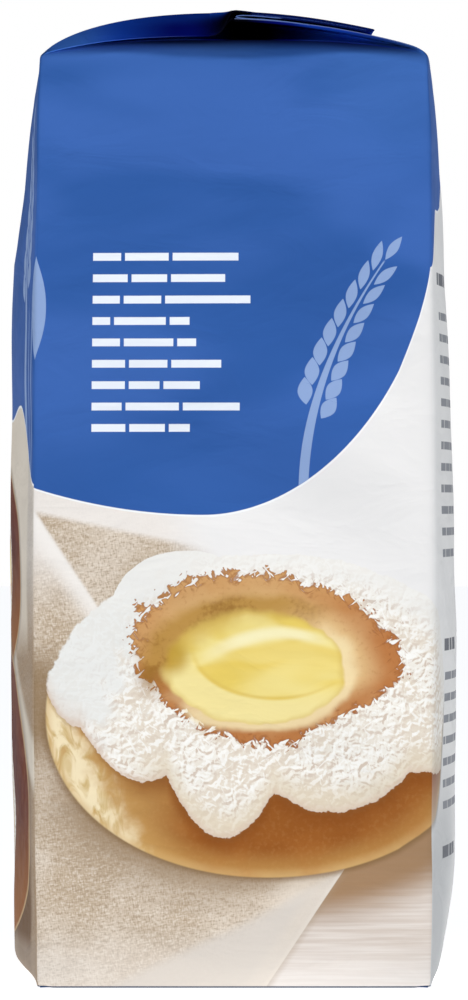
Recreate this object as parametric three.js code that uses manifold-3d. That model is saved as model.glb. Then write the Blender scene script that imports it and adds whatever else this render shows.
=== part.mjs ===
// A full paper bag of bun flour mix, shut and standing on its flat base.
// It is a tube of four panels. At the top the two wide panels lean in and meet along a ridge, the two narrow
// panels tuck in under them as gussets, and the flattened mouth of the tube is folded down to one side.
// Millimetres, +Z up. The origin is the middle of the base, and the narrow sides face -Y and +Y.

import * as THREE from "three";
import { mergeVertices } from "three/addons/utils/BufferGeometryUtils.js";
import Module from "manifold-3d";

// Driving dimensions of the filled bag
const NARROW_SIDE = 75; // fold to fold across a narrow side, laid flat
const WIDE_SIDE = 108; // the same for a wide side
const CORNER_HEIGHT = 176; // base to the four upper corners
const ROOF_RISE = 8.2; // corners to the top of the fold, at the bag's ends
const ROOF_CROWN = 2.4; // how much higher the ridge is in the middle than at its ends
const TUCK_RISE = 3.2; // middle of a narrow side's top edge above its corners
const TUCK_SET_BACK = 2.4; // how far that edge leans in
const TUCK_LEAN_HEIGHT = 8; // height of the leaning band below it
const FOLD_REACH = 26.5; // ridge to the free edge of the folded mouth
const FOLD_THICKNESS = 1.4; // the mouth's paper layers, pressed flat
const ROOF_PAPER = 0.6; // roof and gusset layers over the tuck
const TUCK_TURN = 0.25; // share of the tuck's depth over which its leaning edge straightens
const TUCK_HOLLOW = 2.5; // power that keeps the tuck low on the flour until it nears the roof's paper

// How far the flour pushes each side out past its folds. From the base up, a side rolls out to its full
// bulge within rollHeight, keeps it up to fadeFrom, and has topShare of it left at the corners' height.
const FRONT = { bulge: 6.1, rollHeight: 12, rollPower: 2.6, fadeFrom: 118, topShare: 0.28 }; // wide, at -X
const BACK = { bulge: 5.9, rollHeight: 24, rollPower: 2.2, fadeFrom: 70, topShare: 0.22 }; // wide, at +X
const NARROW = { bulge: 3.4, rollHeight: 22, rollPower: 2.4, fadeFrom: 60, topShare: 0.12 };
const FADE_POWER = 1.4;

// The four long folds: drawn in at the foot, bowed out half-way up and leaning in at the top
const FOOT_DRAW = 0.3;
const CORNER_BOW = 0.9;
const CORNER_LEAN = 0.6;

// The front half of the roof is full, and only its two end edges sag on to the tucked sides
const SAGGED_RISE = 3.5;
const RIDGE_FLARE = 2.2; // a sagged edge climbs to the ridge within about this distance of it

// How finely the panels are divided
const HALF_NARROW_STEPS = 12;
const WIDE_STEPS = 18;
const WALL_STEPS = 24;

const HALF_NARROW = NARROW_SIDE / 2;
const HALF_WIDE = WIDE_SIDE / 2;

const clamp01 = (value) => THREE.MathUtils.clamp(value, 0, 1);
const arch = (t) => 1 - t * t; // a side's swelling, 1 in the middle and 0 at its folds
const wideSide = (face) => (face > 0 ? BACK : FRONT);

// How far the middle of a side stands out at a height.
function bulgeAt(side, z) {
  const roll = 1 - (1 - clamp01(z / side.rollHeight)) ** side.rollPower;
  const fade = clamp01((z - side.fadeFrom) / (CORNER_HEIGHT - side.fadeFrom));
  return side.bulge * roll * (1 - (1 - side.topShare) * fade ** FADE_POWER);
}

// Distance of the four long folds from the middle plane.
function cornerReach(z) {
  const share = clamp01(z / CORNER_HEIGHT);
  return HALF_NARROW - FOOT_DRAW + CORNER_BOW * Math.sin(Math.PI * share) - CORNER_LEAN * share ** 2;
}

// Distance of a wide side's top edge from the middle plane. `face` is 1 for the back and -1 for the front.
function eaveReach(face, y) {
  return cornerReach(CORNER_HEIGHT) + bulgeAt(wideSide(face), CORNER_HEIGHT) * arch(y / HALF_WIDE);
}

const ROOF_STEP = cornerReach(CORNER_HEIGHT) / HALF_NARROW_STEPS;
const RIDGE_BLEND = ROOF_STEP; // the front roof meets the mouth's fold over this width

// Height of a narrow side's top edge, at t from -1 to 1 across it.
const tuckEdge = (t) => CORNER_HEIGHT + TUCK_RISE * (1 - Math.abs(t) ** 2.6);

// How far the mouth's layers lift the left of the ridge above the right.
const foldLift = (x) => FOLD_THICKNESS * (x < 0 ? clamp01(1 + x / RIDGE_BLEND) ** 2 : 1);

// Height of the roof at a place inside the top edges. The back half slopes down from the ridge, under the
// folded mouth. The front half is a full round shoulder.
function roofHeight(x, y) {
  const s = clamp01(Math.abs(x) / eaveReach(x < 0 ? -1 : 1, y));
  const t = clamp01(Math.abs(y) / HALF_WIDE);
  const crowned = 1 + (ROOF_CROWN / ROOF_RISE) * arch(t);
  if (x >= 0) {
    const sloped = (ROOF_RISE - FOLD_THICKNESS) * (1 - 0.35 * s - 0.65 * s ** 4.5);
    return CORNER_HEIGHT + sloped * crowned;
  }
  const full = ROOF_RISE * (1 - s ** 2.4) ** 0.55;
  const sagged = SAGGED_RISE * (1 - s ** 3) + (ROOF_RISE - SAGGED_RISE) * Math.exp(x / RIDGE_FLARE);
  const rise = THREE.MathUtils.lerp(full, sagged, t ** 5);
  return CORNER_HEIGHT + rise * crowned - foldLift(x);
}

// The four panels in turn, seen from above: the near narrow side, back, far narrow side and front.
// `end` is -1 for the near side, and `face` 1 for the back.
const narrowPanel = (end) => ({ end, wide: false });
const widePanel = (face) => ({ face, wide: true });
const PANELS = [narrowPanel(-1), widePanel(1), narrowPanel(1), widePanel(-1)];

// A point on a panel's wall, at t from -1 to 1 across it and at a share of its height.
function wallPoint(panel, t, share) {
  if (panel.wide) {
    const z = share * CORNER_HEIGHT;
    const reach = cornerReach(z) + bulgeAt(wideSide(panel.face), z) * arch(t);
    return [panel.face * reach, panel.face * t * HALF_WIDE, z];
  }
  const z = share * tuckEdge(t);
  const lean = clamp01(1 - (CORNER_HEIGHT + TUCK_RISE - z) / TUCK_LEAN_HEIGHT) ** 2;
  const out = HALF_WIDE + (bulgeAt(NARROW, z) - TUCK_SET_BACK * lean) * arch(t);
  return [-panel.end * t * cornerReach(z), panel.end * out, z];
}

// A point on a panel past its wall's top edge, where `up` runs from 0 at the edge to 1 at the ridge.
function roofPoint(panel, t, up) {
  if (panel.wide) {
    const y = panel.face * t * HALF_WIDE;
    const x = panel.face * eaveReach(panel.face, y) * (1 - up);
    return [x, y, up === 0 ? CORNER_HEIGHT : roofHeight(x, y)];
  }
  const across = Math.abs(t);
  const side = -panel.end * Math.sign(t);
  if (across <= 1 - up) {
    // The triangle that lies on the flour
    const x = side * across * cornerReach(CORNER_HEIGHT);
    const setBack = (TUCK_SET_BACK - bulgeAt(NARROW, CORNER_HEIGHT)) * arch(t);
    const tucked = THREE.MathUtils.lerp(setBack, HALF_NARROW * up, clamp01(up / TUCK_TURN));
    const y = panel.end * (HALF_WIDE - tucked);
    const inward = across < 1 ? up / (1 - across) : 1;
    return [x, y, THREE.MathUtils.lerp(tuckEdge(t), roofHeight(x, y) - ROOF_PAPER, inward ** TUCK_HOLLOW)];
  }
  // The triangles that fold back under the roof
  const x = side * (1 - up) * cornerReach(CORNER_HEIGHT);
  const y = panel.end * (HALF_WIDE - HALF_NARROW * (1 - across));
  const gap = ROOF_PAPER * clamp01((HALF_WIDE - Math.abs(y)) / 2);
  return [x, y, roofHeight(x, y) - gap];
}

// Positions across a panel, from -1 to 1.
function across(panel) {
  const steps = panel.wide ? WIDE_STEPS : 2 * HALF_NARROW_STEPS;
  return Array.from({ length: steps }, (_, i) => (2 * i) / steps - 1);
}

// Shares of the wall's height, closer together at the base and at the top.
function wallShares() {
  return Array.from({ length: WALL_STEPS }, (_, i) => {
    const even = i / WALL_STEPS;
    return even - (0.75 * Math.sin(2 * Math.PI * even)) / (2 * Math.PI);
  });
}

// The rows of the paper tube from its base to the ridge, each a closed ring of points.
function tubeRings() {
  const ring = (place) => PANELS.flatMap((panel) => across(panel).map((t) => place(panel, t)));
  const walls = wallShares().map((share) => ring((panel, t) => wallPoint(panel, t, share)));
  const roof = Array.from({ length: HALF_NARROW_STEPS + 1 }, (_, j) =>
    ring((panel, t) => roofPoint(panel, t, j / HALF_NARROW_STEPS)),
  );
  return [...walls, ...roof];
}

// The filled bag: the tube's skin closed along the ridge, on a flat base.
function bagBody() {
  const rings = tubeRings();
  const around = rings[0].length;
  const faces = [];
  for (let j = 0; j + 1 < rings.length; j++) {
    for (let i = 0; i < around; i++) {
      const a = j * around + i;
      const b = j * around + ((i + 1) % around);
      faces.push([a, b, b + around], [a, b + around, a + around]);
    }
  }
  const outline = rings[0].map(([x, y]) => new THREE.Vector2(x, y));
  const base = THREE.ShapeUtils.triangulateShape(outline, []);
  base.forEach(([a, b, c]) => faces.push([a, c, b]));
  const geometry = new THREE.BufferGeometry();
  geometry.setAttribute("position", new THREE.Float32BufferAttribute(rings.flat(2), 3));
  geometry.setIndex(faces.flat());
  return geometry;
}

// The mouth of the tube, flattened and folded down on the back half of the roof.
function foldedMouth() {
  const sunk = 0.35; // it is fused this deep into the roof
  const steps = 1 + Math.ceil(FOLD_REACH / ROOF_STEP);
  const strip = new THREE.BoxGeometry(steps, WIDE_SIDE, 1, steps, WIDE_STEPS, 1);
  const place = strip.getAttribute("position");
  for (let i = 0; i < place.count; i++) {
    const step = Math.round(place.getX(i) + steps / 2) - 1;
    const x = Math.min(step * ROOF_STEP, FOLD_REACH);
    const y = place.getY(i);
    const lift = place.getZ(i) > 0 ? foldLift(x) : -sunk;
    place.setXYZ(i, x, y, roofHeight(x, y) + lift);
  }
  return strip;
}

// Geometry to a solid that can be joined, and back.
const wasm = await Module();
wasm.setup();

function toSolid(geometry) {
  const bare = new THREE.BufferGeometry();
  bare.setAttribute("position", geometry.getAttribute("position"));
  bare.setIndex(geometry.getIndex());
  const merged = mergeVertices(bare, 1e-3);
  const index = merged.getIndex().array;
  const kept = [];
  for (let i = 0; i < index.length; i += 3) {
    const [a, b, c] = [index[i], index[i + 1], index[i + 2]];
    if (a !== b && b !== c && c !== a) kept.push(a, b, c);
  }
  return new wasm.Manifold(
    new wasm.Mesh({
      numProp: 3,
      vertProperties: new Float32Array(merged.getAttribute("position").array),
      triVerts: new Uint32Array(kept),
    }),
  );
}

function toGeometry(solid) {
  const mesh = solid.getMesh();
  const geometry = new THREE.BufferGeometry();
  geometry.setAttribute("position", new THREE.BufferAttribute(mesh.vertProperties, 3));
  geometry.setIndex(new THREE.BufferAttribute(mesh.triVerts, 1));
  geometry.computeVertexNormals();
  return geometry;
}

// Printed paper, mostly blue at the top of the bag
const printedPaper = new THREE.MeshStandardMaterial({
  color: new THREE.Color().setRGB(0.24, 0.41, 0.71, THREE.SRGBColorSpace),
  roughness: 0.5,
  metalness: 0,
});

const bag = new THREE.Mesh(toGeometry(toSolid(bagBody()).add(toSolid(foldedMouth()))), printedPaper);
bag.name = "flour_bag";

const root = new THREE.Group();
root.add(bag);

export default root;
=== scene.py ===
import math

import bmesh
import bpy
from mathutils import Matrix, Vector, noise


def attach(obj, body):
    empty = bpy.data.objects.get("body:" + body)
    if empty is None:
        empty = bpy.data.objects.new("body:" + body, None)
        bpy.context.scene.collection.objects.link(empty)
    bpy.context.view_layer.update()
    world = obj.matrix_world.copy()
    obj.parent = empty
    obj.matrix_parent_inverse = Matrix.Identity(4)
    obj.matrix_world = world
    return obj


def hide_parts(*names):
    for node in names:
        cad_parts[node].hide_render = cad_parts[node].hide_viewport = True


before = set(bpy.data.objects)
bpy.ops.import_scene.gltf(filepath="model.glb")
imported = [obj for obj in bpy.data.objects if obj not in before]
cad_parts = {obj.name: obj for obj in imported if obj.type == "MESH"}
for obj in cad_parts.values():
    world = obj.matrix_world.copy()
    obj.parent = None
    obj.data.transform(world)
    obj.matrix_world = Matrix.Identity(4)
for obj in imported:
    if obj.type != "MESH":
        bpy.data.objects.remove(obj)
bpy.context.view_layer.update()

# A full paper bag of flour mix. Its paper is one printed sheet, wrapped into a tube of four panels and closed
# by folds at the foot, a roof and a folded-down mouth. Sizes are in millimetres until a mesh is done.
MM = 0.001
NARROW_SIDE = 75
WIDE_SIDE = 108
WALL_HEIGHT = 176
ROOF_RISE = 8.2
ROOF_CROWN = 2.4
TUCK_RISE = 3.2
TUCK_SET_BACK = 6.5
TUCK_TURN = 0.25
TUCK_HOLLOW = 2.5
TUCK_SKEW = 6.0
ROOF_PAPER = 0.6
FOLD_REACH = 26.5
FOLD_THICKNESS = 1.4
FOOT_DRAW = 0.3
TOP_DRAW = 0.4  # share of the bulge that goes in the top 8 mm
CORNER_BOW = 0.9
CORNER_LEAN = 0.6
SAGGED_RISE = 3.4
RIDGE_FLARE = 1.9
RIDGE_BLEND = 3.1
ROLL_HEIGHT = 4.0  # how far down the middle of a narrow side its top leans back
HALF_NARROW = NARROW_SIDE / 2
HALF_WIDE = WIDE_SIDE / 2
FAR_FOLD = 2 * NARROW_SIDE + WIDE_SIDE  # where the wide front starts, round the tube
TUBE = 2 * (NARROW_SIDE + WIDE_SIDE)

# How the flour pushes each side out: its bulge, the share of it reached in the first 2 mm, the start, height
# and power of the roll at the foot, and the fade towards the top
FRONT = dict(bulge=5.65, toe=0.0, roll=(0.7, 5.3, 3.8), fade_from=138, fade_power=1.0, top_share=0.22)
BACK = dict(bulge=5.7, toe=0.36, roll=(0, 46, 4.0), fade_from=26, fade_power=1.85, top_share=0.38)
NARROW = dict(bulge=3.4, toe=0.0, roll=(0, 22, 2.4), fade_from=60, fade_power=1.4, top_share=0.12)

# How far the paper is dented and creased
WIDE_DENT = 0.5
NARROW_DENT = 1.9
SMALL_DENT = 0.3
CREASE = 0.3

# How finely the sheet is divided
FOLD_STEPS = 44
WIDE_STEPS = 100
WALL_STEPS = 150
FOOT_INSETS = (0.3, 0.7, 1.2, 2, 4, 8, 14, 20, 26, 32, 37.5)  # rows under the base, from its edge inwards
FOOT_LIFT = 0.42  # how far the tucked paper under the base stays off the floor, for the flaps over it


def clamp01(value):
    return min(max(value, 0.0), 1.0)


def lerp(low, high, share):
    return low + (high - low) * share


def arch(t):
    return 1 - t * t


def eased(share, pull):
    """Moves even steps from 0 to 1 closer together at both ends."""
    return share - pull * math.sin(2 * math.pi * share) / (2 * math.pi)


# The bag's form


def bulge_at(side, z):
    """How far a side stands out in its middle, at a height."""
    start, height, power = side["roll"]
    toe = 1 - (1 - clamp01(z / 2)) ** 2
    roll = lerp(1 - (1 - clamp01((z - start) / height)) ** power, toe, side["toe"])
    fade = clamp01((z - side["fade_from"]) / (WALL_HEIGHT - side["fade_from"])) ** side["fade_power"]
    drawn_in = 1 - TOP_DRAW * clamp01(1 - (WALL_HEIGHT - z) / 8) ** 2
    return side["bulge"] * roll * (1 - (1 - side["top_share"]) * fade) * drawn_in


def corner_reach(z):
    share = clamp01(z / WALL_HEIGHT)
    return HALF_NARROW - FOOT_DRAW + CORNER_BOW * math.sin(math.pi * share) - CORNER_LEAN * share**2


def eave_reach(face, y):
    side = BACK if face > 0 else FRONT
    return corner_reach(WALL_HEIGHT) + bulge_at(side, WALL_HEIGHT) * arch(y / HALF_WIDE)


def tuck_edge(t):
    return WALL_HEIGHT + TUCK_RISE * (1 - abs(t) ** 3)


def full_roof(x, y):
    """Height of the roof's front half before it dips under the folded mouth."""
    s = clamp01(abs(x) / eave_reach(-1, y))
    t = clamp01(abs(y) / HALF_WIDE)
    full = ROOF_RISE * (1 - s**2.4) ** 0.54
    sagged = SAGGED_RISE * (1 - s**3) + (ROOF_RISE - SAGGED_RISE) * math.exp(-((x / RIDGE_FLARE) ** 2))
    return WALL_HEIGHT + lerp(full, sagged, t**4.2) * (1 + ROOF_CROWN / ROOF_RISE * arch(t))


def roof_height(x, y):
    if x < 0:
        return full_roof(x, y) - FOLD_THICKNESS * clamp01(1 + x / RIDGE_BLEND) ** 2
    s = clamp01(x / eave_reach(1, y))
    t = clamp01(abs(y) / HALF_WIDE)
    sloped = (ROOF_RISE - FOLD_THICKNESS) * (1 - 0.15 * s - 0.71 * s**2 - 0.14 * s**30)
    return WALL_HEIGHT + sloped * (1 + ROOF_CROWN / ROOF_RISE * arch(t))


PANELS = (
    {"end": -1, "wide": False},
    {"face": 1, "wide": True},
    {"end": 1, "wide": False},
    {"face": -1, "wide": True},
)


def wall_point(panel, t, share):
    """A point on a panel's wall, at t from -1 to 1 across it and at a share of its height."""
    if panel["wide"]:
        z = share * WALL_HEIGHT
        side = BACK if panel["face"] > 0 else FRONT
        reach = corner_reach(z) + bulge_at(side, z) * arch(t)
        return Vector((panel["face"] * reach, panel["face"] * t * HALF_WIDE, z))
    top = tuck_edge(t)
    z = share * top
    leaning = clamp01(1 - (top - z) / (ROLL_HEIGHT * (0.05 + 0.95 * arch(t) ** 1.5)))
    back = 0.62 * leaning**1.1 + 0.38 * (1 - math.sqrt(1 - leaning**2))
    out = HALF_WIDE + (bulge_at(NARROW, z) - TUCK_SET_BACK * back) * arch(t)
    return Vector((-panel["end"] * t * corner_reach(z), panel["end"] * out, z))


def roof_point(panel, t, up):
    """A point past a wall's top edge, where `up` runs from 0 at the edge to 1 at the ridge."""
    if panel["wide"]:
        y = panel["face"] * t * HALF_WIDE
        x = panel["face"] * eave_reach(panel["face"], y) * (1 - up)
        z = WALL_HEIGHT if up == 0 else roof_height(x if up < 1 else 0.0, y)
        return Vector((x, y, z))
    across = abs(t)
    side = -panel["end"] * (1 if t > 0 else -1)
    if across <= 1 - up:
        x = side * across * corner_reach(WALL_HEIGHT)
        set_back = (TUCK_SET_BACK - bulge_at(NARROW, WALL_HEIGHT)) * arch(t)
        tucked = lerp(set_back, HALF_NARROW * up, clamp01(up / TUCK_TURN))
        y = panel["end"] * (HALF_WIDE - tucked)
        inward = up / (1 - across) if across < 1 else 1
        return Vector((x, y, lerp(tuck_edge(t), roof_height(x, y) - ROOF_PAPER, inward**TUCK_HOLLOW)))
    x = side * (1 - up) * corner_reach(WALL_HEIGHT)
    y = panel["end"] * (HALF_WIDE - HALF_NARROW * (1 - across))
    gap = ROOF_PAPER * clamp01((HALF_WIDE - abs(y)) / 2)
    return Vector((x, y, roof_height(x, y) - gap))


# The flat sheet: `around` runs round the tube from the near side's left fold, and `up` from the base


def panel_steps(panel):
    """Places across a panel, from -1 up to but not 1, closer together at its folds."""
    if panel["wide"]:
        return [2 * eased(i / WIDE_STEPS, 0.68) - 1 for i in range(WIDE_STEPS)]
    half = [eased(i / FOLD_STEPS, 0.62) for i in range(FOLD_STEPS)]
    return [share - 1 for share in half] + half


def sheet_columns():
    """For each column of the sheet its panel, its place across that panel and its distance round the tube."""
    columns = []
    start = 0
    for panel in PANELS:
        width = WIDE_SIDE if panel["wide"] else NARROW_SIDE
        columns += [(panel, t, start + width * (t + 1) / 2) for t in panel_steps(panel)]
        start += width
    return columns + [(PANELS[0], -1, start)]


def sheet_rows():
    """For each row of the sheet its kind, its measure and its distance up the sheet."""
    foot = [("foot", inset, -inset) for inset in reversed(FOOT_INSETS)]
    shares = [eased(i / WALL_STEPS, 0.72) for i in range(WALL_STEPS)]
    wall = [("wall", share, share * WALL_HEIGHT) for share in shares]
    ups = [eased(i / FOLD_STEPS, 0.62) for i in range(FOLD_STEPS + 1)]
    roof = [("roof", up, WALL_HEIGHT + up * HALF_NARROW) for up in ups]
    return foot + wall + roof


def sheet_point(row, column):
    kind, measure, _ = row
    panel, t, _ = column
    if kind == "wall":
        return wall_point(panel, t, measure)
    if kind == "roof":
        return roof_point(panel, t, measure)
    edge = wall_point(panel, t, 0)
    z = FOOT_LIFT * clamp01((measure - 0.7) / 0.8)
    return Vector((edge.x * (1 - measure / HALF_NARROW), edge.y * (1 - measure / HALF_WIDE), z))


def sheet_height(row, column):
    """Distance up the flat sheet. A narrow side reaches a little higher in its middle than at its folds."""
    kind, _, height = row
    panel, t, _ = column
    if kind == "foot" or panel["wide"]:
        return height
    return height * tuck_edge(t) / WALL_HEIGHT


def bake_place(column, row):
    """The sheet's place in the square that its colours are baked to. The near side gets the most of it."""
    far_side = NARROW_SIDE + WIDE_SIDE
    stops = ((0, 0.0), (NARROW_SIDE, 0.36), (far_side, 0.60), (FAR_FOLD, 0.76), (TUBE, 1.0))
    ridge = WALL_HEIGHT + HALF_NARROW
    rises = ((-HALF_NARROW, 0.0), (0, 0.05), (WALL_HEIGHT, 0.91), (ridge, 1.0))
    return 0.003 + 0.994 * stepped(column[2], stops), 0.003 + 0.994 * stepped(row[2], rises)


def stepped(value, stops):
    """A value read off a line through a few stops."""
    for (low, low_share), (high, high_share) in zip(stops, stops[1:]):
        if value <= high:
            break
    return lerp(low_share, high_share, (value - low) / (high - low))


def dent(place, span, seed):
    """Smooth unevenness from -1 to 1 that changes over about `span` millimetres."""
    return noise.noise(place / span + Vector((seed, seed * 1.7, seed * 0.3)))


def crumple(point, row, column):
    """How far a wall's paper stands out from its smooth form: broad dents, and creases near folds and foot."""
    kind, _, z = row
    panel, t, _ = column
    if kind != "wall":
        return 0.0
    fold = 1 - clamp01((1 - abs(t)) * (HALF_WIDE if panel["wide"] else HALF_NARROW) / 16)
    low = clamp01(1 - z / 34)
    high = clamp01((z - 140) / 30)
    free = clamp01(z / 6) * clamp01((WALL_HEIGHT - z) / 6)
    lengthened = Vector((point.x * 0.42, point.y * 0.42, point.z + 0.3 * point.x))
    depth = WIDE_DENT if panel["wide"] else NARROW_DENT * clamp01((WALL_HEIGHT - z) / 30)
    broad = depth * dent(lengthened, 21, 3.1) * arch(t) ** 0.5 + SMALL_DENT * dent(point, 15, 8.4)
    stretched = Vector((point.x, point.y, point.z * 0.35))
    ridged = 1 - 2 * abs(dent(stretched, 7.5, 5.2))
    creased = CREASE * ridged * (0.25 + 0.75 * max(low, 0.5 * high)) * (0.3 + 0.7 * fold)
    return free * (broad + creased)


def outward(panel):
    if panel["wide"]:
        return Vector((panel["face"], 0, 0))
    return Vector((0, panel["end"], 0))


def linked(name, data):
    """A new object in the scene."""
    made = bpy.data.objects.new(name, data)
    bpy.context.scene.collection.objects.link(made)
    return made


def placed(name, mesh):
    """Turns a finished bmesh in millimetres into an object in metres."""
    bmesh.ops.scale(mesh, vec=Vector((MM, MM, MM)), verts=mesh.verts)
    data = bpy.data.meshes.new(name)
    mesh.to_mesh(data)
    mesh.free()
    for face in data.polygons:
        face.use_smooth = True
    return linked(name, data)


def laid_sheet(columns, rows, place, flat, baked=None):
    """A grid of paper. place gives a grid point's position and flat its place on the flat, printed sheet."""
    mesh = bmesh.new()
    bmesh.ops.create_grid(mesh, x_segments=len(columns) - 1, y_segments=len(rows) - 1, size=1)
    across = len(columns) - 1
    along = len(rows) - 1
    spots = {}
    for vert in mesh.verts:
        i = round((vert.co.x + 1) / 2 * across)
        j = round((vert.co.y + 1) / 2 * along)
        spots[vert] = (i, j)
    print_map = mesh.loops.layers.uv.new("Print")
    bake_map = mesh.loops.layers.uv.new("OFBake") if baked else None
    for face in mesh.faces:
        for loop in face.loops:
            i, j = spots[loop.vert]
            loop[print_map].uv = flat(columns[i], rows[j])
            if baked:
                loop[bake_map].uv = baked(columns[i], rows[j])
    for vert, (i, j) in spots.items():
        vert.co = place(columns[i], rows[j])
    return mesh, spots


def bag_paper():
    """The printed sheet folded into the full bag, closed along the ridge and under the base."""
    columns = sheet_columns()
    rows = sheet_rows()

    def place(column, row):
        point = sheet_point(row, column)
        return point + outward(column[0]) * crumple(point, row, column)

    mesh, spots = laid_sheet(
        columns,
        rows,
        place,
        lambda column, row: (column[2], sheet_height(row, column)),
        bake_place,
    )
    panels = [PANELS.index(column[0]) for column in columns]
    for face in mesh.faces:
        i = min(spots[vert][0] for vert in face.verts)
        j = min(spots[vert][1] for vert in face.verts)
        face.material_index = panels[i] if rows[j][0] == "wall" else len(PANELS)
    soften_folds(mesh, spots, columns, rows)
    bmesh.ops.remove_doubles(mesh, verts=mesh.verts, dist=0.004)
    return mesh


def soften_folds(mesh, spots, columns, rows):
    """Rounds the paper's folds by smoothing the few columns and rows on each side of them."""
    seam = {}
    for vert, (i, j) in spots.items():
        if i in (0, len(columns) - 1):
            seam.setdefault(j, []).append(vert)
    bmesh.ops.weld_verts(mesh, targetmap={pair[1]: pair[0] for pair in seam.values()})
    corners = [i for i, column in enumerate(columns) if abs(column[1]) == 1]
    kinds = [row[0] for row in rows]
    first_wall = kinds.index("wall")
    first_roof = kinds.index("roof")

    def near_corner(i, reach):
        return min(abs(i - corner) for corner in corners) <= reach

    def soft_back(i, j):
        by_back = min(abs(i - corner) for corner in corners[1:3]) <= 11
        return by_back and kinds[j] == "wall" and 24 < rows[j][2] < 140

    for passes, chosen in (
        (40, soft_back),
        (12, lambda i, j: near_corner(i, 5) and j <= first_roof + 2),
        (5, lambda i, j: abs(j - first_wall) <= 3),
        (8, lambda i, j: abs(j - first_roof) <= 5),
        (3, lambda i, j: near_corner(i, 3) and j > first_roof),
    ):
        verts = [v for v, (i, j) in spots.items() if v.is_valid and chosen(i, j)]
        for _ in range(passes):
            bmesh.ops.smooth_vert(
                mesh, verts=verts, factor=0.5, use_axis_x=True, use_axis_y=True, use_axis_z=True
            )
    for vert in mesh.verts:
        vert.co.z = max(vert.co.z, 0.0)


# The folded mouth

MOUTH_STEPS = 60
LOOP_POINTS = 26  # points at the end of the mouth's path, round its open loop
PAPER_THICKNESS = 0.17


def mouth_path():
    """The mouth's paper in section, from the front roof over the top and back through its layers to the loop.
    Each point is a distance from the ridge and a share of the mouth's thickness, 1 at the top."""
    top = [(-4.6 + 0.25 * i, 1.0) for i in range(12)]
    top += [(-1.5 + (FOLD_REACH + 1.2) * i / 30, 1.0) for i in range(31)]

    def turn(x, high, low, side):
        middle = (high + low) / 2
        half = (high - low) / 2
        bulge = 0.22 * side
        angles = [math.pi * k / 5 for k in range(1, 5)]
        return [(x + bulge * math.sin(a), middle + half * math.cos(a)) for a in angles]

    def layer(start, end, share, steps):
        return [(lerp(start, end, k / steps), share) for k in range(steps + 1)]

    path = top + turn(FOLD_REACH - 0.3, 1.0, 0.82, 1)
    path += layer(FOLD_REACH - 0.5, 3.4, 0.82, 18) + turn(3.4, 0.82, 0.64, -1)
    path += layer(3.6, FOLD_REACH - 0.8, 0.64, 18) + turn(FOLD_REACH - 0.8, 0.64, 0.46, 1)
    path += layer(FOLD_REACH - 1.0, 6.4, 0.46, 16)
    angles = [math.pi * k / 16 for k in range(1, 16)]
    path += [(6.0 - 5.6 * math.sin(a), 0.26 + lerp(0.20, 0.36, math.sin(a)) * math.cos(a)) for a in angles]
    path += [(6.0 + 1.2 * k, 0.04 - 0.02 * k) for k in range(8)]
    return unrolled(path)


def unrolled(path):
    """Adds to each point of a path its distance along the paper."""
    length = path[0][0]
    stations = []
    for k, (x, share) in enumerate(path):
        if k:
            length += math.hypot(x - path[k - 1][0], (share - path[k - 1][1]) * FOLD_THICKNESS)
        stations.append((x, share, length))
    return stations


def mouth_thickness(x):
    return FOLD_THICKNESS * lerp(0.90, 0.79, clamp01(x / FOLD_REACH))


def mouth_point(station, y):
    x, share, _ = station
    waver = 0.10 * dent(Vector((x, y, share * 9)), 13, 2.2)
    if x < 0:
        dive = 0.035 * max(-x - RIDGE_BLEND, 0) ** 2
        return Vector((x, y, full_roof(x, y) - dive))
    base = roof_height(x, y)
    over = base + mouth_thickness(x)
    lift = lerp(base, over, share)
    if share == 1.0:
        ridge = WALL_HEIGHT + ROOF_RISE + ROOF_CROWN * arch(y / HALF_WIDE)
        lift = lerp(ridge, over, clamp01(x / 4))
    return Vector((x, y, lift + waver * clamp01(x / 6) * (1 - share * 0.4)))


def folded_mouth():
    path = mouth_path()
    stations = [HALF_WIDE * (2 * k / MOUTH_STEPS - 1) for k in range(MOUTH_STEPS + 1)]

    def place(station, y):
        ragged = 0.12 * dent(Vector((station[0], station[1] * 6, 0)), 2.5, 4.4)
        inner = 0.45 * clamp01((station[2] - FOLD_REACH) / 0.6) * clamp01((station[1] - 0.3) / 0.2)
        return mouth_point(station, y - math.copysign(0.15 + inner + ragged, y) * clamp01((abs(y) - 40) / 14))

    mesh, _ = laid_sheet(path, stations, place, lambda station, y: (station[2], y))
    return mesh


# The block bottom

FLAP_OVERLAP = 8.5
FLAP_CUT = 19  # how much shorter a flap's inner edge is at each end
FLAP_STEPS = 12


def foot_flap(side):
    """One of the two flaps that close the base, folded in from a wide side with its corners cut."""
    reach = HALF_NARROW + FLAP_OVERLAP
    inward = [k / FLAP_STEPS for k in range(FLAP_STEPS + 1)]
    along = [k / FLAP_STEPS - 1 for k in range(2 * FLAP_STEPS + 1)]

    def place(share, t):
        x = side * (HALF_NARROW - 0.9 - reach * share)
        half = HALF_WIDE - 1.2 - FLAP_CUT * clamp01(share * 1.9)
        under = 0.16 * clamp01(share * 4 - 1.2) if side < 0 else 0
        return Vector((x, t * half, 0.08 + under))

    mesh, _ = laid_sheet(inward, along, place, lambda share, t: (share * reach, t * HALF_WIDE))
    return mesh


# Shader maths

GLOSS = 0.004  # share of light that a paper reflects without its colour
LIGHT = 1.075  # light that falls on the sides
SIDE_GLOSS = 0.03  # specular level of the printed sides


def shade(red, green, blue):
    """The colour of a paper that looks like this on a screen, allowing for its gloss."""
    linear = [(c / 255 / 12.92) if c <= 10 else ((c / 255 + 0.055) / 1.055) ** 2.4 for c in (red, green, blue)]
    return (*[min(max((c - GLOSS) / LIGHT, 0.002), 0.95) for c in linear], 1.0)


def math_operator(operation, swapped=False):
    """A method of Value that adds a Math node for one of Python's operators."""

    def method(value, other):
        terms = (other, value) if swapped else (value, other)
        return value.finish.maths(operation, *terms)

    return method


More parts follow.
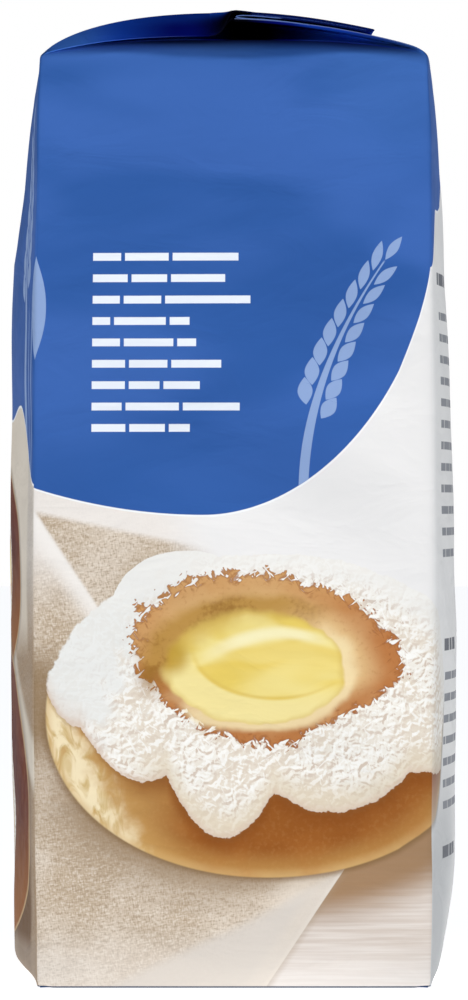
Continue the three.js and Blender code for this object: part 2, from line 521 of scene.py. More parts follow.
class Value:
    """A number that varies over a finish. Python's operators on it add Math nodes."""

    def __init__(self, finish, socket):
        self.finish = finish
        self.socket = socket

    def __abs__(self):
        return self.finish.maths("ABSOLUTE", self)

    __add__ = math_operator("ADD")
    __radd__ = math_operator("ADD")
    __sub__ = math_operator("SUBTRACT")
    __rsub__ = math_operator("SUBTRACT", swapped=True)
    __mul__ = math_operator("MULTIPLY")
    __rmul__ = math_operator("MULTIPLY")
    __truediv__ = math_operator("DIVIDE")
    __rtruediv__ = math_operator("DIVIDE", swapped=True)
    __pow__ = math_operator("POWER")


class Finish:
    """A material's nodes. Its methods add nodes and hand back values and colours."""

    def __init__(self, name, roughness=0.5, gloss=SIDE_GLOSS):
        self.material = bpy.data.materials.new(name)
        self.material.use_nodes = True
        self.tree = self.material.node_tree
        self.surface = self.tree.nodes["Principled BSDF"]
        self.surface.inputs["Roughness"].default_value = roughness
        self.surface.inputs["Specular IOR Level"].default_value = gloss

    def node(self, kind, settings=(), inputs=()):
        """Adds a node: first its settings, then the values or links of its sockets."""
        added = self.tree.nodes.new(kind)
        for name, setting in dict(settings).items():
            setattr(added, name, setting)
        for name, given in dict(inputs).items():
            self.feed(added.inputs[name], given)
        return added

    def feed(self, socket, given):
        source = given.socket if isinstance(given, Value) else given
        if isinstance(source, bpy.types.NodeSocket):
            self.tree.links.new(source, socket)
        else:
            socket.default_value = source

    def maths(self, operation, *terms):
        node = self.node("ShaderNodeMath", {"operation": operation}, dict(enumerate(terms)))
        return Value(self, node.outputs[0])

    def least(self, *terms):
        found = terms[0]
        for term in terms[1:]:
            found = self.maths("MINIMUM", found, term)
        return found

    def most(self, *terms):
        found = terms[0]
        for term in terms[1:]:
            found = self.maths("MAXIMUM", found, term)
        return found

    def step(self, value, low, high):
        """A soft step: 0 where the value is at `low` and 1 where it is at `high`."""
        node = self.node(
            "ShaderNodeMapRange",
            {"interpolation_type": "SMOOTHSTEP"},
            {"Value": value, "From Min": low, "From Max": high},
        )
        return Value(self, node.outputs[0])

    def mix(self, share, under, over):
        """The colour `under`, covered by `over` where the share is 1."""
        node = self.node("ShaderNodeMix", {"data_type": "RGBA"}, {0: share, 6: under, 7: over})
        return node.outputs[2]

    def layers(self, colour, *covers):
        """A colour under others, each given by its share and how its red, green and blue look on a screen."""
        for share, red, green, blue in covers:
            colour = self.mix(share, colour, shade(red, green, blue))
        return colour

    def spot(self, x, y, z=0):
        return self.node("ShaderNodeCombineXYZ", (), {0: x, 1: y, 2: z}).outputs[0]

    def noise(self, x, y, scale, detail=2, seed=0, distortion=0):
        node = self.node(
            "ShaderNodeTexNoise",
            (),
            {"Vector": self.spot(x, y, seed), "Scale": scale, "Detail": detail, "Distortion": distortion},
        )
        return Value(self, node.outputs["Fac"])

    def ring(self, x, y, centre, radii, power=2):
        """Distance from a centre, 1 on a round outline with these two radii."""
        dx = abs(x - centre[0]) / radii[0]
        dy = abs(y - centre[1]) / radii[1]
        if power == 2:
            return self.maths("SQRT", dx * dx + dy * dy)
        return (dx**power + dy**power) ** (1 / power)

    def bump(self, height, strength, distance):
        node = self.node("ShaderNodeBump", (), {"Height": height, "Strength": strength, "Distance": distance})
        return node.outputs[0]

    def sheet_place(self):
        """Distances round and up the flat printed sheet, in millimetres."""
        flat = self.node("ShaderNodeUVMap", {"uv_map": "Print"})
        parts = self.node("ShaderNodeSeparateXYZ", (), {0: flat.outputs[0]})
        return Value(self, parts.outputs[0]), Value(self, parts.outputs[1])


# The print

FOOT_BLUE = shade(50, 64, 90)
PALE_BLUE = shade(143, 167, 210)
LINE_WHITE = shade(236, 241, 249)
PAPER_WHITE = shade(238, 237, 235)
EDGE = 0.06  # half the width of a printed edge, in millimetres
LINE_WIDTH = 0.34  # the white line under the blue field

# Each roll on the wide front: its centre, its radii and how far down it reaches
FRONT_ROLLS = (((4, 76), (35.5, 21.8), 18), ((4, 27), (45.4, 38), 19.5))

# Small print on the wide back: left edge, top, lines and width of each block. A single line is a heading.
SMALL_PRINT = (
    (-46.5, 134, 1, 32),
    (-44, 127, 12, 38),
    (4, 127, 9, 36),
    (-43, 64.5, 1, 32),
    (-42, 58.5, 7, 38),
    (4, 58.5, 5, 36),
    (-43, 25, 1, 36),
)


def paper_feel(f, x, y):
    """Fine fibres and faint wrinkles in the coated paper."""
    fibres = f.noise(x, y, 2.6, 3, 11)
    wrinkles = f.noise(x * 0.5, y, 0.11, 3, 4, 0.8)
    f.feed(f.surface.inputs["Normal"], f.bump(fibres * 0.04 + wrinkles * 2.4, 0.5, 0.0005))
    f.feed(f.surface.inputs["Roughness"], 0.46 + 0.10 * f.noise(x, y, 0.35, 2, 7))


def ear_of_grain(f, x, y, foot, size, count, lean):
    """A stem that bends to one side, with leaf-shaped kernels on both sides. Returns its share of cover."""
    rise = (y - foot[1]) / size
    across = (x - foot[0]) / size - lean * rise * rise
    slope = 2 * lean * rise
    turned = 1 / (slope * slope + 1)
    aside = across * f.maths("SQRT", turned)
    rise = rise + across * slope * turned
    kernel_length = 2.55
    kernel_width = 1.36
    pitch = 3.8
    first = 15.5
    last = first + pitch * count
    soft = EDGE / size
    stem = f.step(abs(aside) - 0.95 + 0.8 * f.step(rise, first * 0.4, last), soft, -soft)
    cover = stem * f.step(rise, last + 0.8, last)
    left = f.step(aside, 0.01, -0.01)
    along = rise - first - 0.5 * pitch * left
    taper = 1.08 - 0.38 * f.step(along, 0, pitch * count)
    away = abs(aside) - 2.5 * taper
    step = f.maths("FLOORED_MODULO", along, pitch)
    turn = math.radians(22)
    for before in (0, pitch):
        reach = step + (before - 0.62 * pitch)
        length = (reach * math.cos(turn) + away * math.sin(turn)) / kernel_length
        width = (away * math.cos(turn) - reach * math.sin(turn)) / (kernel_width * taper)
        kernel = f.step(abs(width) + abs(length) ** 1.8, 1 + soft, 1 - soft)
        ends = f.step(along, before, before + 0.02)
        ends = ends * f.step(along, before + pitch * count, before + pitch * count - 0.02)
        cover = f.most(cover, kernel * ends)
    tip = abs(aside) / 0.95 + abs((rise - last - 3) / 2.3) ** 1.8
    return f.most(cover, f.step(tip, 1 + soft, 1 - soft))


def text_bars(f, x, y, left, top, pitch, rows, width, height, seed, gap):
    """Lines of plain bars with gaps between them, where small print stands. Returns their share of cover."""
    down = (top - y) / pitch + 0.5
    row = f.maths("FLOOR", down)
    within = abs(down - row - 0.5) * pitch

    def chance(number):
        place = f.spot(row, number + seed)
        node = f.node("ShaderNodeTexWhiteNoise", {"noise_dimensions": "2D"}, {"Vector": place})
        return Value(f, node.outputs["Value"])

    end = width * (0.60 + 0.40 * chance(1.5))
    first = width * (0.10 + 0.20 * chance(2.5))
    second = width * (0.38 + 0.20 * chance(3.5))
    reach = x - left
    apart = f.least(abs(reach - first), abs(reach - second)) - 0.5 * gap
    inside = f.least(reach, end - reach, apart, 0.5 * height - within)
    shown = f.step(inside, -EDGE, EDGE)
    return shown * f.step(row, -0.6, -0.4) * f.step(row, rows - 0.4, rows - 0.6)


def linen(f, x, y):
    """A cloth of natural linen, with uneven threads both ways."""
    turn = math.radians(9)
    warp = x * math.cos(turn) + y * math.sin(turn)
    weft = y * math.cos(turn) - x * math.sin(turn)
    threads = f.noise(warp * 0.30, weft, 3.6, 1, 1) + f.noise(warp, weft * 0.30, 3.6, 1, 5) - 1
    soft = f.noise(x, y, 0.07, 2, 9)
    return f.layers(
        shade(194, 175, 152),
        (f.step(soft, 0.34, 0.66), 215, 200, 182),
        (f.step(threads, 0, 0.3) * 0.50, 239, 230, 218),
        (f.step(threads, 0, -0.3) * 0.50, 148, 126, 101),
    )


def pale_wood(f, x, y):
    """A bleached table top with straight, fine grain, which fades out upwards."""
    grain = f.noise(x * 0.03, y, 1.7, 3, 3)
    return f.layers(
        shade(212, 199, 188),
        (f.step(grain, 0.30, 0.70), 228, 219, 211),
        (f.step(y, 9, 1) * 0.6, 232, 228, 224),
        (f.step(y, 24, 58), 236, 234, 232),
    )


def coconut(f, x, y):
    """Icing strewn with flakes and lit from the upper left. Returns its colour and the flakes' height."""
    across = x * 0.8 + y * 0.6
    down = y * 0.8 - x * 0.6
    one_way = f.noise(across * 0.42, down, 0.95, 1, 41, 0.9)
    other_way = f.noise(across, down * 0.42, 0.95, 1, 52, 0.9)
    flakes = f.most(one_way, other_way)
    upper = f.noise(x - 0.14, y + 0.20, 0.62, 3, 27, 0.6)
    lower = f.noise(x + 0.14, y - 0.20, 0.62, 3, 27, 0.6)
    relief = lower - upper
    lumps = f.noise(x, y, 0.16, 1, 61)
    rough = 0.35 + 0.65 * f.step(lumps, 0.40, 0.58)
    icing = f.layers(
        shade(240, 235, 225),
        (f.step(lumps, 0.60, 0.38), 228, 217, 201),
        (f.step(relief, 0.01, 0.10) * 0.8, 250, 248, 243),
        (f.step(relief, -0.015, -0.11) * rough * 0.7, 198, 174, 154),
        (f.step(flakes, 0.61, 0.70) * 0.7, 251, 249, 244),
    )
    return icing, flakes


# The big roll's outline, and the lobes of its icing's hem: the middle, the depth and the spread of each
ROLL_CENTRE = (6.6, 51.2)
ROLL_RADII = (41.7, 30.2)
ROLL_POWER = 2.06
HEM_LOBES = ((-1.8, 28.5, 10), (18.3, 33.2, 30), (-16.6, 39, 14), (-29.5, 49.4, 4.5), (39, 40.2, 90))


def hem_height(f, x):
    """How far down the icing runs."""
    lobes = []
    for middle, depth, spread in HEM_LOBES:
        aside = x - middle
        lobes.append(depth + aside * aside / spread)
    return f.least(*lobes)


def baked_dough(f, x, y, outline, above, uneven):
    """The roll's side, darkest under the icing and pale where it was torn from its neighbour."""
    ragged, fine, mottled = uneven
    crust = f.layers(
        shade(148, 88, 40),
        (f.step(outline, 0.80, 0.97), 180, 132, 74),
        (f.step(outline, 0.93, 1), 203, 164, 108),
        (f.step(mottled, 0.42, 0.72) * 0.35, 174, 112, 56),
        (f.step(x, -6, -20) * 0.75, 198, 156, 94),
        (f.step(fine, -0.05, 0.22) * 0.08, 212, 166, 108),
    )
    torn = f.step(x + 0.5 * y + ragged * 7, -1.5, -8.5)
    streaks = f.noise(x * 1.1 + y * 0.5, y * 0.35 - x * 0.7, 0.30, 3, 81, 1.2)
    crumb = f.layers(
        shade(208, 180, 126),
        (f.step(streaks, 0.36, 0.56), 241, 224, 186),
        (f.step(streaks, 0.40, 0.30) * 0.7, 196, 156, 100),
    )
    return f.layers(
        f.mix(torn, crust, crumb),
        (f.step(outline, 0.955, 1) * f.step(x, -10, -24) * 0.5, 205, 168, 112),
        (f.step(above, -4.6, -0.2) * f.step(x, -28, -16) * 0.6, 134, 74, 32),
        (f.step(above, -1.4, 0) * 0.35, 138, 92, 54),
    )


def spread_icing(f, x, y, outline, above, ragged, strewn):
    """Icing, smooth at the left and strewn with coconut elsewhere."""
    plain = f.step(x - 0.5 * (y - 60) + ragged * 22, -13, -24)
    poured = f.layers(shade(222, 212, 202), (f.step(above, 0, 6), 233, 233, 229))
    drip = f.step(above, 7.5, 1.5) * f.step(x, -22, -12)
    faded = f.step(outline, 0.80, 0.98) * f.step(y + 0.3 * x, 60, 74)
    return f.layers(
        f.mix(plain * 0.85, strewn, poured),
        (drip * 0.7, 221, 206, 180),
        (f.step(above, 2, 0) * 0.6, 212, 188, 168),
        (faded * 0.85, 238, 236, 231),
    )


def yellow_cream(f, x, y, place, facing):
    """Cream stirred into folds, deeper in colour where it meets the wall of the hollow."""
    swirl = f.noise(x * 0.45 + y * 0.3, y - x * 0.12, 0.14, 1, 71, 0.8)
    bend = f.noise(x, y, 0.055, 0, 66) - 0.5
    fold = y - 0.08 * x - 63.8 + 0.014 * (x - 8) * (x - 8) + bend * 6
    streak = f.step(abs(fold - 1.2), 1.7, 0.2) * f.step(x, -9, 2) * f.step(x, 20, 12)
    crescent = f.ring(x, y, (7.4, 64.2), (15.2, 9.8), 2) + bend * 0.16
    lower = f.step(y + 0.25 * x, 64, 56)
    corner = f.step(f.ring(x, y, (-11.2, 62.4), (4.2, 4.6)), 1, 0.2)
    return f.layers(
        shade(232, 205, 104),
        (f.step(swirl, 0.38, 0.62), 241, 222, 142),
        (streak * 0.85, 250, 242, 198),
        (f.step(fold, 0.4, -1) * f.step(fold, -7, -1) * 0.5, 230, 200, 98),
        (f.step(crescent, 0.98, 1.04) * lower * 0.9, 243, 227, 160),
        (f.step(abs(crescent - 0.97), 0.05, 0) * lower * 0.55, 222, 190, 96),
        (f.step(place, 0.88, 1) * 0.5, 208, 172, 84),
        (f.step(place, 0.62, 1) * f.step(facing, 2, 9) * 0.65, 204, 168, 84),
        (corner * 0.85, 190, 152, 58),
    )


def filled_hollow(f, x, y, under, uneven):
    """The hollow with its cream. Its wall is dark at the upper left, and its lip light at the lower right."""
    ragged, fine, mottled = uneven
    warped = f.noise(x, y, 0.16, 2, 61) - 0.5
    place = f.ring(x, y, (4.2, 60.2), (16.8, 10.5), 2.2) + warped * 0.22 + ragged * 0.06
    facing = 0.85 * (y - 62) - 0.42 * (x - 4.2) + warped * 6
    wall = f.step(place, 1.42, 1.18) * f.step(facing, -1, 7.5)
    deep = f.layers(shade(154, 110, 48), (f.step(mottled + fine * 0.4, 0.40, 0.62), 184, 140, 70))
    lip = f.step(place, 1.17, 1.03) * f.step(facing, 3, -4)
    hollow = f.layers(f.mix(wall * 0.9, under, deep), (lip * 0.85, 243, 222, 174))
    filled = f.step(place, 1 + 0.10 * f.step(facing, 0, 6), 0.95)
    return f.mix(filled, hollow, yellow_cream(f, x, y, place, facing))


def sweet_roll(f, x, y, under):
    """A round roll seen from above one side: baked dough, icing with coconut, and a yellow middle."""
    ragged = f.noise(x, y, 0.32, 3, 21) - 0.5
    fine = f.noise(x, y, 1.15, 2, 33) - 0.5
    mottled = f.noise(x, y, 0.12, 3, 14)
    uneven = (ragged, fine, mottled)
    outline = f.ring(x, y, ROLL_CENTRE, ROLL_RADII, ROLL_POWER)
    contact = f.step(outline, 1.045, 1) * f.step(y, 58, 46)
    picture = f.layers(under, (contact * 0.7, 128, 98, 62))
    above = y - hem_height(f, x) + fine * 1.1 + ragged * 1.4
    body = f.step(outline, 1.006, 0.994) * f.step(above, 1.5, 0.5)
    picture = f.mix(body, picture, baked_dough(f, x, y, outline, above, uneven))

    strewn, flakes = coconut(f, x, y)
    lump = f.ring(x, y, (-9, 71), (14, 11.6))
    lumpy = f.least(outline - 0.022 * f.step(y, 50, 60), lump) + ragged * 0.05 + fine * 0.02
    iced = f.step(above, -0.12, 0.12) * f.step(lumpy, 1, 0.988)
    picture = f.mix(iced, picture, spread_icing(f, x, y, outline, above, ragged, strewn))

    # The bare rim inside the icing
    rim = f.ring(x, y + 0.12 * (x - 7.6), (6.6, 61.9), (24.8, 15.8), 2.1)
    rim = rim + 0.28 * f.step(x, 8, 22) * f.step(y, 60, 50)
    crust = f.layers(
        shade(228, 192, 138),
        (f.step(rim, 0.60, 0.92), 186, 122, 72),
        (f.step(y - 0.3 * x, 60, 74) * 0.6, 214, 170, 112),
        (f.step(mottled, 0.4, 0.7) * 0.25, 226, 190, 138),
        (f.step(fine, -0.02, -0.24) * 0.25, 178, 122, 74),
    )
    ragged_rim = rim + ragged * 0.30 + (flakes - 0.6) * 0.42
    shadow = f.step(ragged_rim, 0.90, 0.985) * f.step(ragged_rim, 1, 0.985)
    picture = f.mix(f.step(ragged_rim, 1, 0.965), picture, crust)
    picture = f.layers(picture, (shadow * 0.6, 146, 86, 48))
    return filled_hollow(f, x, y, picture, uneven)


def plain_roll(f, x, y, under, centre, radii, depth):
    """A domed roll with a ring of icing and a yellow middle. Its lower half reaches down by `depth`."""
    ragged = f.noise(x, y, 0.30, 3, centre[1]) - 0.5
    raised = f.most(y - centre[1], (centre[1] - y) * (radii[1] / depth))
    outline = f.ring(x, raised + centre[1], centre, radii, 2.1)
    low = f.step(y - centre[1], 0.5 * depth, -0.8 * depth)
    crust = f.layers(
        shade(88, 28, 8),
        (f.step(outline + ragged * 0.1, 0.60, 0.96), 108, 44, 16),
        (low * 0.85, 164, 106, 52),
        (f.step(x, 20, -16) * 0.7, 196, 140, 82),
        (f.step(ragged, -0.1, 0.25) * 0.3, 146, 92, 52),
        (f.step(outline, 0.955, 0.99) * 0.6, 226, 200, 156),
    )
    picture = f.layers(under, (f.step(outline, 1.10, 0.99) * 0.5, 112, 88, 66))
    picture = f.mix(f.step(outline, 1.004, 0.996), picture, crust)
    strewn, flakes = coconut(f, x, y)

    def about_top(across, upward):
        top = (centre[0] - 0.10 * radii[0], centre[1] + 0.16 * radii[1])
        return f.ring(x, y, top, (across * radii[0], upward * radii[1]))

    iced = about_top(0.46, 0.50) + ragged * 0.14
    bare = about_top(0.29, 0.29) + (flakes - 0.6) * 0.4
    cream = about_top(0.21, 0.19) + ragged * 0.1
    return f.layers(
        f.mix(f.step(iced, 1, 0.985), picture, strewn),
        (f.step(bare, 1, 0.96), 206, 158, 98),
        (f.step(cream, 1, 0.94), 242, 222, 138),
    )


def laid_cloth(f, x, y, outline, edge_line):
    """The linen under the roll, with a fold at the upper left and a turned-up corner that catches the light."""
    dim = f.step(f.ring(x, y, (-37, 53), (10, 15)), 1, 0.3)
    slope = 0.83 * (x + 36.9) + 0.55 * (y - 89)
    shaded = f.step(89.6 - 0.215 * (x + 36.9) - y, -0.8, 0.8) * f.step(slope, -0.6, 0.9)
    crease = f.step(slope, -4.6, -0.6) * f.step(slope, 0.6, -0.2) * f.step(y, 66, 72)
    broad = f.step(outline, 1.34, 1.06) * f.step(x, 12, -4) * f.step(y, 46, 28)
    turned_up = y - 0.50 * x - 12.6 + 2 * (f.noise(x, y, 0.07, 1, 6) - 0.5)
    lit = f.step(turned_up, 0.4, -1.4)
    flat_part = f.step(edge_line, -2, -5.5) * f.step(turned_up, -0.6, -2.6)
    return f.layers(
        linen(f, x, y),
        (dim * 0.85, 145, 119, 88),
        (f.step(y, 70, 86) * (1 - shaded) * 0.9, 238, 232, 226),
        (crease * 0.85, 243, 238, 232),
        (f.step(outline, 1.15, 1.02) * f.step(y, 50, 30) * 0.6, 150, 126, 98),
        (broad * 0.5, 156, 132, 104),
        (f.step(x - 0.6 * y, -6, 1) * f.step(y, 26, 17) * 0.8, 230, 218, 203),
        (f.step(y, 14, 3) * 0.45, 230, 224, 217),
        (lit * (0.55 + 0.35 * flat_part), 215, 207, 198),
        (f.step(edge_line, -1.2, -0.2) * lit * 0.5, 228, 219, 208),
    )


def picture_field(f, x, y):
    """Table, cloth and roll, filling the lower part of a side."""
    outline = f.ring(x, y, ROLL_CENTRE, (41.8, 30.2), ROLL_POWER)
    edge_line = x - 0.66 * y - 5.9
    near = f.step(outline, 1.40, 1.12) * f.step(y, 40, 28)
    wood = f.layers(
        pale_wood(f, x, y),
        (near * 0.95, 158, 124, 90),
        (f.step(edge_line, 1.8, 0) * f.step(y, 30, 20) * 0.35, 168, 146, 122),
    )
    lower = f.step(edge_line, -0.12, 0.12) * f.step(y, 60, 44)
    upper = f.step(x + 0.4 * (y - 70), -9, 3) * f.step(y, 44, 60)
    cloth = laid_cloth(f, x, y, outline, edge_line)
    return sweet_roll(f, x, y, f.mix(f.most(lower, upper), cloth, wood))


def near_edge(f, x, y):
    """Height above the blue field's lower edge on a narrow side, which sweeps down and up in one curve."""
    lowest = -5.6
    power = 1.93
    left = f.least(x - lowest, 0)
    left_height = y - 89.2 - 0.005 * left * left
    right = f.most(x - lowest, 0) / 44.5
    below = f.most(150 - y, 0) / 60.8
    right_height = (1 - (right**power + below**power) ** (1 / power)) * 50
    return f.least(left_height, right_height)


def blue_ink(f, around, y):
    """The blue print's colour, a little uneven, with more of the paler blue higher up."""
    cloudy = f.noise(around * 0.4 + y * 0.12, y - around * 0.1, 0.045, 2, 17, 0.4)
    pale = f.step(cloudy, 0.36, 0.62) * (0.35 + 0.65 * f.step(y, 94, 118))
    return f.layers(shade(51, 92, 161), (pale, 64, 104, 177))


def blue_over(f, above, under, x, y):
    """The blue field above its edge, with a thin white line along the edge."""
    lined = f.layers(under, (f.step(above, -LINE_WIDTH - EDGE, -LINE_WIDTH + EDGE), 244, 245, 246))
    return f.mix(f.step(above, -EDGE, EDGE), lined, blue_ink(f, x, y))


def leaf_blade(f, inset, y):
    """Share of cover of a pointed leaf that lies along a fold."""
    rise = f.most(1 - ((y - 128.2) / 9.8) ** 2, 0)
    return f.step(inset - 2.1 * rise**1.15, EDGE, -EDGE) * f.step(rise, 0, 0.02)


def printed(f, art, around, y):
    """Prints a panel, which is plain dark blue where it turns under at the foot."""
    f.feed(f.surface.inputs["Base Color"], f.mix(f.step(y, 0.4, 0.2), art, FOOT_BLUE))
    paper_feel(f, around, y)
    return f.material


def narrow_side_print(name, start, turned):
    """A narrow side: picture below, blue field above with lines of small print and an ear of grain."""
    f = Finish(name)
    around, y = f.sheet_place()
    straight = around - (start + HALF_NARROW)
    x = straight * -1 if turned else straight
    above = near_edge(f, x, y)
    art = blue_over(f, above, picture_field(f, x, y), around, y)
    left = -12 if turned else -26.6
    bars = text_bars(
        f, straight, y, left, top=137.8, pitch=4.03, rows=9, width=30, height=1.45, seed=3, gap=0.75
    )
    art = f.mix(bars, art, LINE_WHITE)
    grain = ear_of_grain(f, x, y, foot=(12.9, 93), size=0.95, count=8, lean=0.0076)
    ornament = f.most(grain, leaf_blade(f, x + HALF_NARROW, y))
    art = f.mix(ornament * f.step(above, -EDGE, EDGE), art, PALE_BLUE)

    # Light on the upper right, and shade where the top leans back under the roof
    lit = f.step(f.ring(x, y, (31, 174), (22, 24)), 1, 0.2)
    top = WALL_HEIGHT + TUCK_RISE
    lip = f.step(y + abs(x / HALF_NARROW) ** 3 * TUCK_RISE, top - 2.6, top)
    aside = f.most(x * -1, x - 9)
    art = f.layers(art, (lit * 0.5, 70, 113, 186), (lip * f.step(aside, 36, 12) * 0.9, 0, 8, 60))
    return printed(f, art, around, y)


def front_print(name, start):
    """The wide front: two rolls on a cloth, under a blue field with a waved edge."""
    f = Finish(name)
    around, y = f.sheet_place()
    x = around - (start + HALF_WIDE)
    inset = HALF_WIDE - abs(x)
    worn = f.layers(shade(158, 131, 102), (f.step(y, 62, 84), 208, 202, 195))
    strip = f.step(inset, 4, 7) * f.step(y, 61, 70)
    low = f.step(inset, 44, 22) * f.step(inset, 3, 7) * f.step(y, 28, 15)
    band = f.step(abs(y - 0.68 * inset - 42), 7, 2.5) * f.step(inset, 34, 22)
    art = f.layers(
        f.mix(f.step(inset, 40, 14) * 0.7, linen(f, x, y), worn),
        (strip * 0.7, 236, 225, 207),
        (low * 0.88, 108, 75, 42),
        (f.step(y, 10, 6) * 0.75, 176, 158, 140),
        (band * 0.85, 230, 221, 205),
    )
    for centre, radii, depth in FRONT_ROLLS:
        art = plain_roll(f, x, y, art, centre, radii, depth)
    wave = 15.6 * f.step(inset, -2, 16) - 2.5 * f.step(inset, 17, 34)
    above = (y - 94.4 - wave) * 0.75
    art = blue_over(f, above, art, around, y)
    grain = ear_of_grain(f, x * -1, y, foot=(-45, 111), size=1.2, count=7, lean=0.001)
    stalks = f.least(abs(inset - 2.4), abs(inset - 5.2) + 0.1)
    stalk = f.step(stalks, 0.40, 0.30) * f.step(y, 131, 124)
    ornament = f.most(grain, stalk, leaf_blade(f, inset, y))
    art = f.mix(ornament * f.step(above, -EDGE, EDGE), art, PALE_BLUE)
    return printed(f, art, around, y)


def back_print(name, start):
    """The wide back: white paper with small print, under the blue field. Rolls reach round its folds."""
    f = Finish(name)
    around, y = f.sheet_place()
    x = around - (start + HALF_WIDE)
    inset = HALF_WIDE - abs(x)
    # Painted shade: the white paper is greyed low down near both folds
    low_fold_shade = f.step(inset, 44, 12) * f.step(y, 50, 22)
    art = f.layers(sweet_roll(f, inset + HALF_NARROW, y, PAPER_WHITE), (low_fold_shade * 0.7, 186, 188, 189))
    for left, top, rows, width in SMALL_PRINT:
        heading = rows == 1
        height = 2.3 if heading else 1.5
        pitch = 6 if heading else 4.1
        ink = shade(116, 118, 124) if heading else shade(146, 148, 153)
        bars = text_bars(f, x, y, left, top, pitch, rows, width, height, left + top, 0.5 * height)
        art = f.mix(bars, art, ink)
    above = (y - 136 - 11 * f.step(inset, 0, 6.5) - 8 * f.step(inset, 12, 54)) * 0.7
    return printed(f, blue_over(f, above, art, around, y), around, y)


def roof_tone(f, x, y):
    """Shares of deeper blue, of painted shade, of full painted dark and of a painted highlight along the roof's
    folds. Its front half and the tucked-in narrow sides get painted shade towards the ridge."""
    near_back = x - NARROW_SIDE
    far_back = NARROW_SIDE + WIDE_SIDE - x
    front = f.least(x - FAR_FOLD, TUBE - x)
    back = f.least(near_back, far_back)
    tuck = f.most(f.least(x, TUCK_SKEW - near_back), f.least(TUCK_SKEW - far_back, FAR_FOLD - x))
    on_front = f.step(front, -1.5, -0.3)
    on_tuck = f.step(tuck, -0.6, 0)
    low = f.step(y, 175.5, 178)
    # Painted shade towards the ridge on the front half and the tucks, by the back folds and low in the tucks
    front_end = f.step(y, 184, 203) * on_front * (1 - 0.4 * f.step(front, 5, 18))
    tuck_end = f.step(y, 193, 205) * on_tuck
    under = f.step(back, -3.6, -1.4) * f.step(back, 4, 2) * f.step(y, 178, 186) * 0.55
    lip = f.step(tuck, 5, 15) * f.step(y, 184, 179) * low * 0.8
    shaded = f.most(front_end, tuck_end, under, lip, f.step(tuck, 25, 33) * low)
    # Painted dark at the ridge and deep in the tucks
    near_ridge = f.step(y, 204.5, 212) * f.most(on_front * f.step(front, 22, 10), on_tuck)
    dark = f.most(near_ridge, f.step(tuck, 32, 37.5) * low)
    # Painted highlights along the roof's back and front folds, where their edges catch the light
    back_fold_highlight = f.step(abs(back), 0.7, 0.2) * f.step(y, 176.5, 180)
    front_fold_highlight = f.step(abs(front), 0.6, 0.1) * f.step(y, 178, 182) * f.step(y, 208, 200)
    return f.step(y, 181, 193), shaded, dark, f.most(back_fold_highlight, front_fold_highlight * 0.3)


def mouth_tone(f, x, y):
    """The same shares on the mouth, which is shaded at its ends down to the front roof."""
    end = f.step(abs(y), 28, 48)
    dark = f.step(x, -9, -1.5) * f.step(x, 6, 1) * end
    return 1, f.step(x, 8, -2) * end, dark, 0


def blue_paper(name, tone=None):
    """Blue print for the roof, the mouth and the foot, plain on the foot. The roof and the mouth carry painted
    shade, and the roof painted light above its front eave and painted highlights along its folds.
    """
    f = Finish(name, gloss=0 if tone else SIDE_GLOSS)
    x, y = f.sheet_place()
    ink = blue_ink(f, x, y)
    if tone is roof_tone:
        # Painted light: the front roof and the tucks beside it are printed lighter from just above the eave
        front_eave_light = f.most(f.step(x, FAR_FOLD - 16, FAR_FOLD - 8), f.step(x, 18, 10))
        ink = f.layers(ink, (front_eave_light * f.step(y, 176, 179), 80, 137, 234))
    if tone:
        deeper, shaded, dark, edge = tone(f, x, y)
        # Painted shade and painted dark from the tone, and a painted highlight along the roof's folds
        ink = f.layers(
            ink,
            (deeper, 42, 99, 230),
            (shaded * 0.96, 0, 20, 120),
            (dark, 0, 3, 24),
            (edge * 0.75, 120, 138, 182),
        )
    if tone is roof_tone:
        ink = f.mix(f.step(y, 0.2, 0), ink, FOOT_BLUE)
    worn = f.step(f.noise(x, y, 0.5, 4, 2), 0.68, 0.80)
    f.feed(f.surface.inputs["Base Color"], f.layers(ink, (worn * 0.12, 90, 130, 210)))
    paper_feel(f, x, y)
    return f.material


def cut_paper(name, low=0, high=500):
    """The cut edge of paper: pale between two distances along the sheet, and dark with painted shade where its
    layers lie close and at the sheet's start, but for one layer with painted light, as if it caught a little
    light."""
    f = Finish(name, roughness=0.8, gloss=0)
    x, y = f.sheet_place()
    fibres = f.noise(x, y, 3, 2, 1)
    pale = f.layers(shade(70, 96, 156), (fibres, 110, 134, 186))
    lit_layer = f.step(x, 49.5, 52) * f.step(x, 72, 71)
    # Painted shade between the close layers, near black at the sheet's start, and painted light on one layer
    dark = f.layers(
        shade(2, 15, 58),
        (f.step(fibres, 0.35, 0.65), 14, 32, 80),
        (f.step(x, 3, 0.5), 0, 3, 26),
        (lit_layer * f.step(fibres, 0.3, 0.6) * 0.8, 52, 74, 130),
    )
    apart = f.step(x, low - 0.5, low + 0.5) * f.step(x, high + 0.5, high - 0.5)
    f.feed(f.surface.inputs["Base Color"], f.mix(apart, dark, pale))
    return f.material


def thicken(piece):
    """Gives a piece of paper its thickness. Its cut edges take its second material."""
    paper = piece.modifiers.new("paper", "SOLIDIFY")
    paper.thickness = PAPER_THICKNESS * MM
    paper.offset = 0
    paper.material_offset_rim = 1


